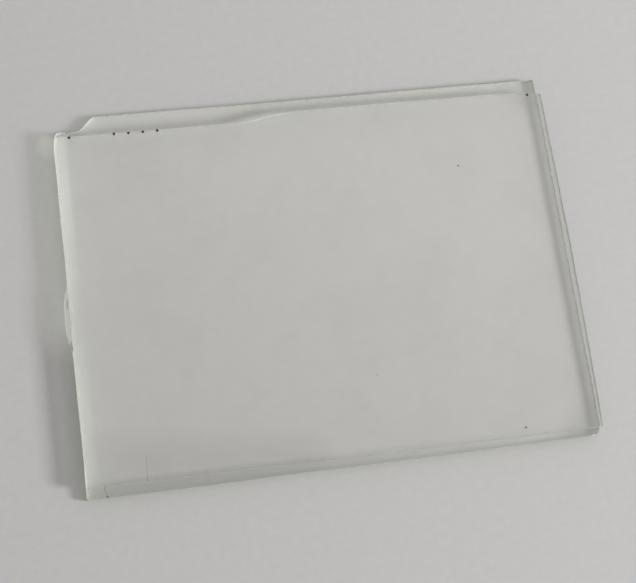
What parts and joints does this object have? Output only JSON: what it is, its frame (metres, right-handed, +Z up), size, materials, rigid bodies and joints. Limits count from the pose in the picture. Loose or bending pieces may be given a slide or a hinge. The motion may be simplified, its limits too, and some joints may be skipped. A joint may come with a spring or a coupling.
{
  "type": "hemocytometer",
  "caption": "Open-edged cell counting chamber of clear hand-cut glass plates, stacked with a thin gap between them, the lower plate showing as a ledge along both long sides.",
  "frame": {"origin": "centre of the base plate's underside, on the surface it lies on", "axes": "+X along the plates' long side, away from the short side with the lip; +Y towards the far, wider ledge; +Z up through the stack"},
  "size_m": [0.0763, 0.0568, 0.0023],
  "materials": {
    "base_glass": "clear, faintly green",
    "cover_glass": "clear, faintly green",
    "rail_glass": "clear",
    "etched_line": "fine matt",
    "enamel": "satin black"
  },
  "bodies": {
    "base": {"base_plate": "base_glass", "left_spacer_rail": "rail_glass", "right_spacer_rail": "rail_glass", "counting_grid": "etched_line"},
    "cover": {"cover_plate": "cover_glass", "left_corner_dot": "enamel", "right_corner_dot": "enamel", "row_dot_1": "enamel", "row_dot_2": "enamel", "row_dot_3": "enamel", "row_dot_4": "enamel"}
  },
  "joints": [
    {"name": "cover_lift", "type": "slide", "parent": "base", "child": "cover", "axis": [0, 0, 1], "range_m": [0, 0.012]}
  ]
}
